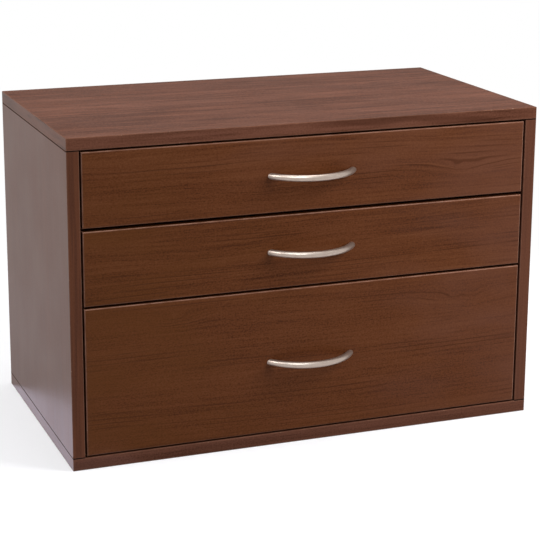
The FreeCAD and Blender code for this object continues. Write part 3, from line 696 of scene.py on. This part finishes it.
@dataclass(frozen=True)
class SatinNickel:
    """Satin nickel plate, rubbed along the bow, a little warmer and duller where hands touch it."""

    name: str
    bend_centre: Point
    plate: Colour = (0.43, 0.352, 0.302)
    warm: Colour = (0.37, 0.288, 0.238)
    speck_tone: Colour = (0.42, 0.38, 0.34)
    metal_share: float = 0.86

    def material(self) -> bpy.types.Material:
        """Builds the finish.

        Returns:
            The material.
        """
        graph = Graph.of_finish(self.name)
        place = graph.place()
        x, y, z = graph.vector_math("SUBTRACT", place, self.bend_centre).parts()
        turn = graph.math("ARCTAN2", x, y * -1.0)
        radius = graph.math("SQRT", x * x + y * y)
        rub = graph.noise(graph.joined(turn * 1.1, radius * 2600.0, z * 2600.0), 2.0, 0.6)
        haze = graph.noise(graph.joined(turn * 9.0, radius * 120.0, z * 120.0), 3.0, 0.55)
        speck = graph.noise(graph.scaled(place, 900.0), 2.0)
        touched = haze.rise(0.40, 0.75)
        colour = graph.blend(touched * 0.45, self.plate, self.warm)
        colour = graph.blend(speck.rise(0.72, 0.80) * 0.25, colour, self.speck_tone)
        return graph.surface(
            {
                "Base Color": colour,
                "Metallic": self.metal_share,
                "Roughness": rub * 0.06 + touched * 0.05 + 0.29,
                "Normal": graph.bump(haze, 0.00002, 0.3),
            }
        )


@dataclass(frozen=True)
class EpoxySteel:
    """Cream epoxy coat on pressed steel, with grey marks where the rollers run."""

    name: str
    coat: Colour = (0.70, 0.665, 0.585)
    mark: Colour = (0.34, 0.325, 0.30)
    dusty: Colour = (0.52, 0.47, 0.39)

    def material(self) -> bpy.types.Material:
        """Builds the finish.

        Returns:
            The material.
        """
        graph = Graph.of_finish(self.name)
        place = graph.place()
        normal_z = graph.facing()[2].math("ABSOLUTE")
        peel = graph.noise(graph.scaled(place, 650.0), 2.0)
        streak = graph.noise(graph.scaled(place, (900.0, 14.0, 900.0)), 3.0, 0.65)
        dust = graph.noise(graph.scaled(place, 40.0), 4.0, 0.6)
        tracked = normal_z.rise(0.8, 0.95) * streak.rise(0.48, 0.72)
        colour = graph.blend(tracked * 0.55, self.coat, self.mark)
        colour = graph.blend(dust.rise(0.5, 0.8) * 0.25, colour, self.dusty)
        return graph.surface(
            {
                "Base Color": colour,
                "Roughness": peel * 0.08 + tracked * 0.12 + dust * 0.10 + 0.30,
                "IOR": 1.5,
                "Normal": graph.bump(peel, 0.00002, 0.5),
            }
        )


@dataclass(frozen=True)
class ZincPlate:
    """Bright zinc plate on screws, cams and nails, with a faint blue cast and fine crystals."""

    name: str
    blue_cast: Colour = (0.52, 0.53, 0.55)
    bright: Colour = (0.66, 0.65, 0.62)
    crystal_tone: Colour = (0.33, 0.33, 0.34)

    def material(self) -> bpy.types.Material:
        """Builds the finish.

        Returns:
            The material.
        """
        graph = Graph.of_finish(self.name)
        place = graph.place()
        crystal = graph.noise(graph.scaled(place, 1400.0), 2.0, 0.6)
        cloud = graph.noise(graph.scaled(place, 190.0), 3.0, 0.6)
        colour = graph.blend(cloud.rise(0.3, 0.7), self.blue_cast, self.bright)
        colour = graph.blend(crystal.rise(0.66, 0.80) * 0.5, colour, self.crystal_tone)
        return graph.surface(
            {
                "Base Color": colour,
                "Metallic": 1.0,
                "Roughness": crystal * 0.16 + cloud * 0.12 + 0.22,
                "Normal": graph.bump(crystal, 0.00001, 0.5),
            }
        )


@dataclass(frozen=True)
class Nylon:
    """White nylon of the rollers, with grey grime in patches."""

    name: str
    clean: Colour = (0.74, 0.73, 0.70)
    grey: Colour = (0.50, 0.48, 0.45)
    glow_depth: float = 0.002

    def material(self) -> bpy.types.Material:
        """Builds the finish.

        Returns:
            The material.
        """
        graph = Graph.of_finish(self.name)
        place = graph.place()
        grime = graph.noise(graph.scaled(place, 160.0), 3.0, 0.65)
        fine = graph.noise(graph.scaled(place, 1800.0), 1.0)
        colour = graph.blend(grime.rise(0.45, 0.75) * 0.6, self.clean, self.grey)
        return graph.surface(
            {
                "Base Color": colour,
                "Roughness": grime * 0.15 + fine * 0.08 + 0.34,
                "IOR": 1.5,
                "Subsurface Weight": 0.08,
                "Subsurface Radius": (self.glow_depth, self.glow_depth, self.glow_depth),
                "Normal": graph.bump(fine, 0.00001, 0.4),
            }
        )


@dataclass(frozen=True)
class Beech:
    """Plain beech of the dowels, with its short flecks."""

    name: str
    dark: Colour = (0.44, 0.27, 0.15)
    light: Colour = (0.60, 0.41, 0.25)
    fleck_tone: Colour = (0.33, 0.19, 0.10)

    def material(self) -> bpy.types.Material:
        """Builds the finish.

        Returns:
            The material.
        """
        graph = Graph.of_finish(self.name)
        place = graph.place()
        lines = graph.noise(graph.scaled(place, (700.0, 700.0, 30.0)), 2.0, 0.6)
        fleck = graph.noise(graph.scaled(place, (900.0, 300.0, 160.0)), 1.0)
        colour = graph.blend(lines.rise(0.25, 0.75), self.dark, self.light)
        colour = graph.blend(fleck.rise(0.62, 0.72) * 0.5, colour, self.fleck_tone)
        return graph.surface(
            {"Base Color": colour, "Roughness": lines * 0.2 + 0.5, "Normal": graph.bump(lines, 0.00005, 0.6)}
        )


@dataclass(frozen=True)
class StudioPaper:
    """Pale paper under the cabinet. It keeps the shadow near it and fades into the white surroundings."""

    name: str
    tone: Colour = (0.50, 0.50, 0.52)
    fibre_shade: float = 0.985
    lift: float = 0.45
    fade_start: float = 0.60
    fade_end: float = 0.95

    def material(self) -> bpy.types.Material:
        """Builds the finish.

        Returns:
            The material.
        """
        graph = Graph.of_finish(self.name)
        place = graph.place()
        fibre = graph.noise(graph.scaled(place, 55.0), 2.0)
        colour = graph.blend(fibre, shaded(self.tone, self.fibre_shade), self.tone)
        paper = graph.add("ShaderNodeBsdfDiffuse", {"Color": colour, "Roughness": 0.5})
        glow = graph.add("ShaderNodeEmission", {"Strength": seen_rays(graph) * self.lift})
        lit = graph.add("ShaderNodeAddShader", {0: paper, 1: glow})
        x, y, _ = place.parts()
        faded = graph.math("SQRT", x * x + y * y).rise(self.fade_start, self.fade_end)
        open_air = graph.add("ShaderNodeBsdfTransparent")
        sweep = graph.add("ShaderNodeMixShader", {0: faded, 1: lit, 2: open_air})
        graph.add("ShaderNodeOutputMaterial", {0: sweep})
        return graph.owner


def as_point(vector: Vector) -> Point:
    """A vector as three plain numbers."""
    return (vector.x, vector.y, vector.z)


def dress(node: str, material: bpy.types.Material) -> None:
    """Gives a node its finish.

    Args:
        node: Name of the node.
        material: Its finish.
    """
    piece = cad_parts[node]
    piece.data.materials.clear()
    piece.data.materials.append(material)
    LOG.info("dressed %s in %s", node, material.name)


@dataclass
class CabinetBody:
    """The case: lid, floor, sides, back and the fittings that are fixed to it; its runners are dressed with
    the drawers.
    """

    lid_swirls: tuple[Swirl, ...] = (Swirl(0.16, 0.05, 0.07, 0.020, 0.018),)
    lid_index: float = 1.11
    lid_dullness: float = 0.24
    side_index: float = 1.16
    side_roughness: float = 0.33
    roughness: float = 0.32
    # Lighter rubbed edges of the case: partly wear, partly a painted highlight.
    edge_wear_and_highlight: float = 0.25
    seed_step: float = 3.7

    def dress_flat_boards(self) -> None:
        """Laminate on the lid and the floor."""
        lid_look = {
            "swirls": self.lid_swirls,
            "sheen_index": self.lid_index,
            "contrast": 1.5,
            "fineness": 0.45,
            # Painted light: the lid's print is lighter, and its upward face is painted darker.
            "painted_lightness": 0.06,
            "painted_lid_shade": 0.12,
            "lid_dullness": self.lid_dullness,
        }
        floor_look = {"sheen_index": self.side_index, "contrast": 0.75}
        for seed, node, look in ((1, "top_panel", lid_look), (2, "bottom_panel", floor_look)):
            low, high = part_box(node)
            finish = CherryLaminate(
                f"{node}_cherry",
                Grain.LID,
                as_point(low),
                as_point(high),
                self.seed_step * seed,
                CASE_TONE,
                roughness=self.roughness,
                edge_wear_and_highlight=self.edge_wear_and_highlight,
                **look,
            )
            dress(node, finish.material())

    def dress_sides(self) -> None:
        """Laminate on the sides, with dark seams against the lid and the floor."""
        for seed, node, band_share in ((3, "left_side_panel", 0.42), (4, "right_side_panel", 0.15)):
            low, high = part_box(node)
            finish = CherryLaminate(
                f"{node}_cherry",
                Grain.UPRIGHT,
                as_point(low),
                as_point(high),
                self.seed_step * seed,
                CASE_TONE,
                seams=(low.z, high.z),
                roughness=self.side_roughness,
                sheen_index=self.side_index,
                contrast=0.4,
                fleck_share=0.3,
                veining=0.1,
                edge_wear_and_highlight=self.edge_wear_and_highlight,
                band_share=band_share,
            )
            dress(node, finish.material())

    def dress_back(self) -> None:
        """Raw outside and printed inside on the nailed back."""
        finish = Hardboard("back_hardboard", printed_axis=1, printed_side=-1.0, seed=5.0)
        dress("back_panel", finish.material())

    def dress_fittings(self, zinc: bpy.types.Material, wood: bpy.types.Material) -> None:
        """Zinc on the fasteners and beech on the dowels.

        Args:
            zinc: Finish of the steel fittings.
            wood: Finish of the dowels.
        """
        screws = ("bottom_panel_screws", "cabinet_rail_screws")
        for node in ("back_panel_nails", "cam_locks", "cam_bolts", *screws):
            dress(node, zinc)
        dress("wood_dowels", wood)


@dataclass
class Drawer:
    """One drawer: front, box, handle, rails and fittings."""

    name: str
    seed: float
    swirls: tuple[Swirl, ...]
    contrast: float = 1.0
    # Painted light on the front: a lighter level and a pinker hue.
    painted_lightness: float = 0.0
    painted_warmth: float = 0.0
    bend_behind: float = 0.038

    def node(self, piece: str) -> str:
        """Name of one of the drawer's nodes."""
        return f"{self.name}_{piece}"

    def dress_front(self) -> None:
        """Laminate with a horizontal grain on the front."""
        low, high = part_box(self.node("drawer_front"))
        finish = CherryLaminate(
            self.node("front_cherry"),
            Grain.FRONT,
            as_point(low),
            as_point(high),
            self.seed,
            FRONT_TONE,
            self.swirls,
            contrast=self.contrast,
            # Painted light on the front: its level, a sheen ramp pinker towards the right, and painted shade
            # on faces that point down.
            painted_lightness=self.painted_lightness,
            painted_sheen_ramp=0.50,
            painted_warmth=self.painted_warmth,
            painted_under_shade=0.9,
        )
        dress(self.node("drawer_front"), finish.material())

    def dress_box(self) -> None:
        """Foil on the sides and back, and hardboard for the bottom."""
        grains = {"left_side": Grain.DEPTHWISE, "right_side": Grain.DEPTHWISE, "back": Grain.FRONT}
        for piece, grain in grains.items():
            node = self.node(f"drawer_{piece}")
            low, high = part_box(node)
            dress(node, BoxFoil(f"{node}_foil", grain, as_point(low), as_point(high), self.seed).material())
        bottom = self.node("drawer_bottom")
        finish = Hardboard(f"{bottom}_hardboard", printed_axis=2, printed_side=1.0, seed=self.seed)
        dress(bottom, finish.material())

    def dress_handle(self) -> None:
        """Satin nickel on the bow, rubbed round the centre of its bend."""
        low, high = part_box(self.node("handle"))
        middle = (low + high) / 2
        centre = (middle.x, high.y + self.bend_behind, middle.z)
        dress(self.node("handle"), SatinNickel(self.node("handle_nickel"), centre).material())

    def dress_runners(
        self, zinc: bpy.types.Material, coat: bpy.types.Material, nylon: bpy.types.Material
    ) -> None:
        """Zinc on the fittings, cream coat on the rails and nylon on the rollers.

        Args:
            zinc: Finish of the steel fittings.
            coat: Finish of the rails.
            nylon: Finish of the rollers.
        """
        for piece in ("handle_screws", "drawer_cam_fittings", "drawer_back_screws", "drawer_rail_screws"):
            dress(self.node(piece), zinc)
        for side in ("left", "right"):
            dress(self.node(f"{side}_drawer_rail"), coat)
            dress(self.node(f"{side}_cabinet_rail"), coat)
        for piece in ("cabinet_rollers", "drawer_rollers"):
            dress(self.node(piece), nylon)


@dataclass
class Lamp:
    """A soft box that points at its target, with its size in metres and its power in watts."""

    name: str
    place: Point
    size: float
    power: float
    colour: Colour = (1.0, 1.0, 1.0)
    target: Point = (0.0, 0.0, 0.2)
    in_gloss: bool = True
    in_spread: bool = True
    length: float = 0.0
    turn: float = 0.0

    def build(self) -> None:
        """Adds the lamp to the scene."""
        data = bpy.data.lights.new(self.name, "AREA")
        data.shape = "RECTANGLE"
        data.size = self.size
        data.size_y = self.length or self.size
        data.energy = self.power
        data.color = self.colour
        lamp = bpy.data.objects.new(self.name, data)
        bpy.context.scene.collection.objects.link(lamp)
        lamp.location = self.place
        lamp.visible_camera = False
        lamp.visible_diffuse = self.in_spread
        lamp.visible_glossy = self.in_gloss
        aim = Vector(self.target) - Vector(self.place)
        lamp.rotation_mode = "QUATERNION"
        turn = Quaternion((0.0, 0.0, 1.0), math.radians(self.turn))
        lamp.rotation_quaternion = turn @ aim.to_track_quat("-Z", "Y")


@dataclass
class Studio:
    """Camera, lamps, paper sweep and surroundings."""

    azimuth: float = -20.95
    elevation: float = 13.94
    roll: float = 0.30
    distance: float = 2.266
    target: Point = (0.010, 0.0, 0.249)
    focal_pixels: float = 1724.0
    frame_pixels: int = 540
    sensor_width: float = 36.0
    shift_y: float = -0.10
    sky: Colour = (0.98, 0.99, 1.0)
    ambient: float = 0.46
    floor_size: float = 2.0
    floor_drop: float = 0.0004
    lamps: list[Lamp] = field(
        default_factory=lambda: [
            Lamp(
                "key_box",
                (1.15, -0.90, 1.10),
                size=0.9,
                power=31.0,
                colour=(1.0, 0.985, 0.97),
                in_gloss=False,
            ),
            Lamp("fill_box", (-1.55, -0.15, 1.45), size=1.0, power=20.0),
            Lamp("top_box", (0.1, 0.3, 2.6), size=1.6, power=33.5),
            Lamp(
                "handle_box",
                (-0.56, -1.21, 1.63),
                size=1.0,
                power=18.0,
                colour=(0.80, 0.94, 1.0),
                target=(0.0, -0.2, 0.25),
                in_spread=False,
            ),
            Lamp(
                "bounce_card",
                (-0.274, -0.027, 0.0005),
                size=0.32,
                power=0.37,
                colour=(0.80, 0.78, 1.0),
                target=(-0.274, -0.027, 1.0),
                in_spread=False,
                length=0.24,
                turn=60.0,
            ),
        ]
    )

    def build_camera(self) -> None:
        """Camera at the photograph's viewing angle."""
        turn, tilt = math.radians(self.azimuth), math.radians(self.elevation)
        away = Vector((math.sin(turn) * math.cos(tilt), -math.cos(turn) * math.cos(tilt), math.sin(tilt)))
        side = (-away).cross(Vector((0.0, 0.0, 1.0))).normalized()
        rise = side.cross(-away)
        spin = math.radians(self.roll)
        right = side * math.cos(spin) + rise * math.sin(spin)
        top = rise * math.cos(spin) - side * math.sin(spin)
        data = bpy.data.cameras.new("studio_camera")
        data.sensor_width = self.sensor_width
        data.lens = self.focal_pixels / self.frame_pixels * self.sensor_width
        data.shift_y = self.shift_y
        data.clip_start, data.clip_end = 0.05, 200.0
        data.dof.use_dof = False
        camera = bpy.data.objects.new("studio_camera", data)
        bpy.context.scene.collection.objects.link(camera)
        turned = Matrix((right, top, away)).transposed().to_4x4()
        camera.matrix_world = Matrix.Translation(Vector(self.target) + away * self.distance) @ turned
        bpy.context.scene.camera = camera

    def build_floor(self) -> None:
        """Flat sweep of paper under the cabinet."""
        half = self.floor_size / 2
        mesh = bpy.data.meshes.new("studio_floor")
        outline = ((-half, -half), (half, -half), (half, half), (-half, half))
        corners = [(x, y, -self.floor_drop) for x, y in outline]
        mesh.from_pydata(corners, [], [(0, 1, 2, 3)])
        mesh.materials.append(StudioPaper("studio_paper").material())
        floor = bpy.data.objects.new("studio_floor", mesh)
        bpy.context.scene.collection.objects.link(floor)

    def build_world(self) -> None:
        """Even soft light, and white behind the cabinet, also in gloss and through clear pieces."""
        world = bpy.data.worlds.new("studio_world")
        bpy.context.scene.world = world
        graph = Graph(world)
        seen = seen_rays(graph)
        light = graph.add("ShaderNodeBackground", {"Color": self.sky, "Strength": self.ambient})
        white = graph.add("ShaderNodeBackground", {"Color": (1.0, 1.0, 1.0), "Strength": 1.0})
        shown = graph.add("ShaderNodeMixShader", {0: seen, 1: light, 2: white})
        graph.add("ShaderNodeOutputWorld", {0: shown})

    def build(self) -> None:
        """Sets up the whole studio."""
        scene = bpy.context.scene
        scene.view_settings.view_transform = "Standard"
        self.build_camera()
        self.build_floor()
        self.build_world()
        for lamp in self.lamps:
            lamp.build()
        LOG.info("studio with %d lamps", len(self.lamps))


def main() -> None:
    """Dresses the cabinet and its drawers, and sets up the studio."""
    logging.basicConfig(level=logging.INFO, format="%(name)s: %(message)s")
    Studio().build()
    zinc = ZincPlate("zinc_plate").material()
    coat = EpoxySteel("cream_epoxy").material()
    nylon = Nylon("white_nylon").material()
    case = CabinetBody()
    case.dress_flat_boards()
    case.dress_sides()
    case.dress_back()
    case.dress_fittings(zinc, Beech("plain_beech").material())
    drawers = (
        # The top drawer is painted lighter and pinker, for more light from above.
        Drawer("top", 11.3, TOP_SWIRLS, painted_lightness=0.05, painted_warmth=0.06),
        Drawer("middle", 23.9, MIDDLE_SWIRLS),
        Drawer("bottom", 37.1, BOTTOM_SWIRLS, contrast=0.7),
    )
    for drawer in drawers:
        drawer.dress_front()
        drawer.dress_box()
        drawer.dress_handle()
        drawer.dress_runners(zinc, coat, nylon)


if __name__ == "__main__":
    main()
